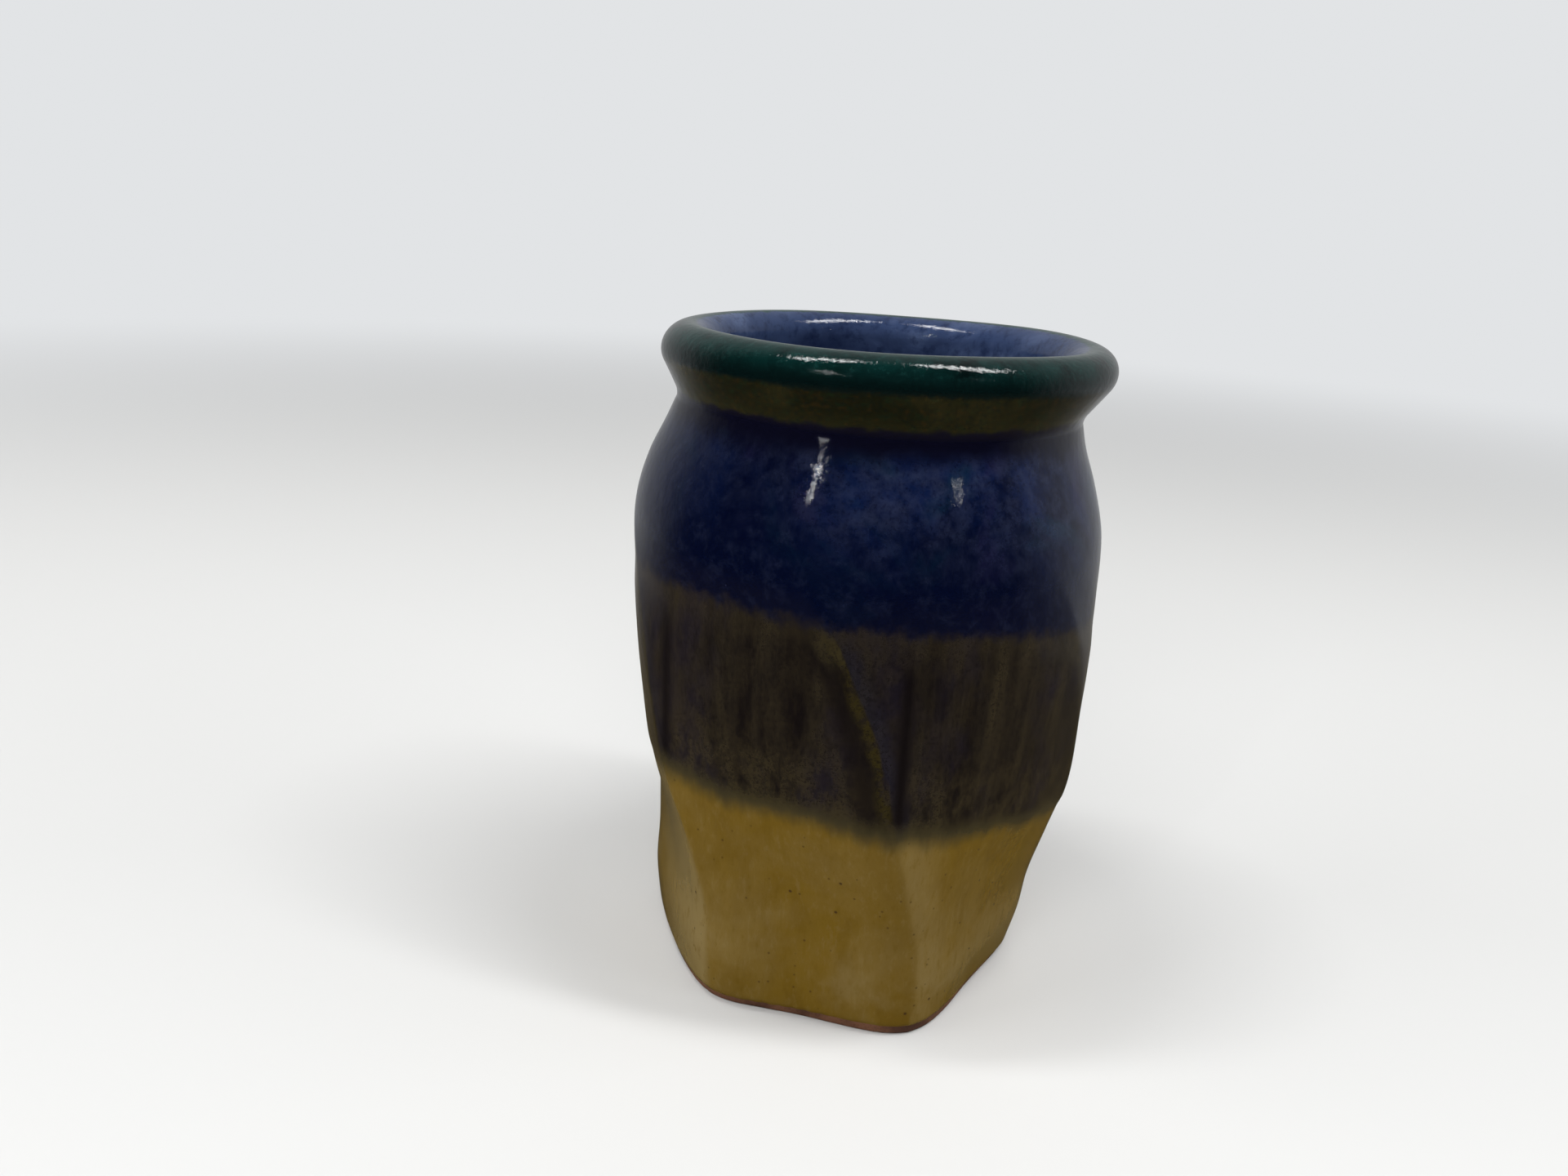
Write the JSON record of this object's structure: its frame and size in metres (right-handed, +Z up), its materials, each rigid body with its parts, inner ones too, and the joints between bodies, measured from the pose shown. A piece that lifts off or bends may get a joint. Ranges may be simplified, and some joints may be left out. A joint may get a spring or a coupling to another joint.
{
  "type": "glazed stoneware jar",
  "caption": "Open thrown jar with a twisted six-sided belly, rolled lip, flared collar and dipped glaze bands over a bare clay foot.",
  "frame": {"origin": "middle of the foot, on the surface that the jar stands on", "axes": "+Z up the jar's axis to the mouth, -Y towards the picture's viewer, +X to the viewer's right"},
  "size_m": [0.0942, 0.0954, 0.13],
  "materials": {
    "clay": "bare fired red-brown stoneware, matt and slightly gritty",
    "cream_glaze": "glossy buff glaze with fine dark specks",
    "overlap_glaze": "glossy brown-black glaze streaked violet and olive where the blue ran over the buff",
    "blue_glaze": "glossy deep cobalt glaze, mottled teal and lilac",
    "collar_glaze": "glossy olive-brown glaze, broken thin over the clay",
    "rim_glaze": "glossy dark green glaze, mottled teal",
    "liner_glaze": "glossy lilac-blue glaze, cloudy"
  },
  "bodies": {
    "root": {"clay_body": "clay", "cream_glaze": "cream_glaze", "overlap_glaze": "overlap_glaze", "blue_glaze": "blue_glaze", "collar_glaze": "collar_glaze", "rim_glaze": "rim_glaze", "liner_glaze": "liner_glaze"}
  },
  "joints": []
}
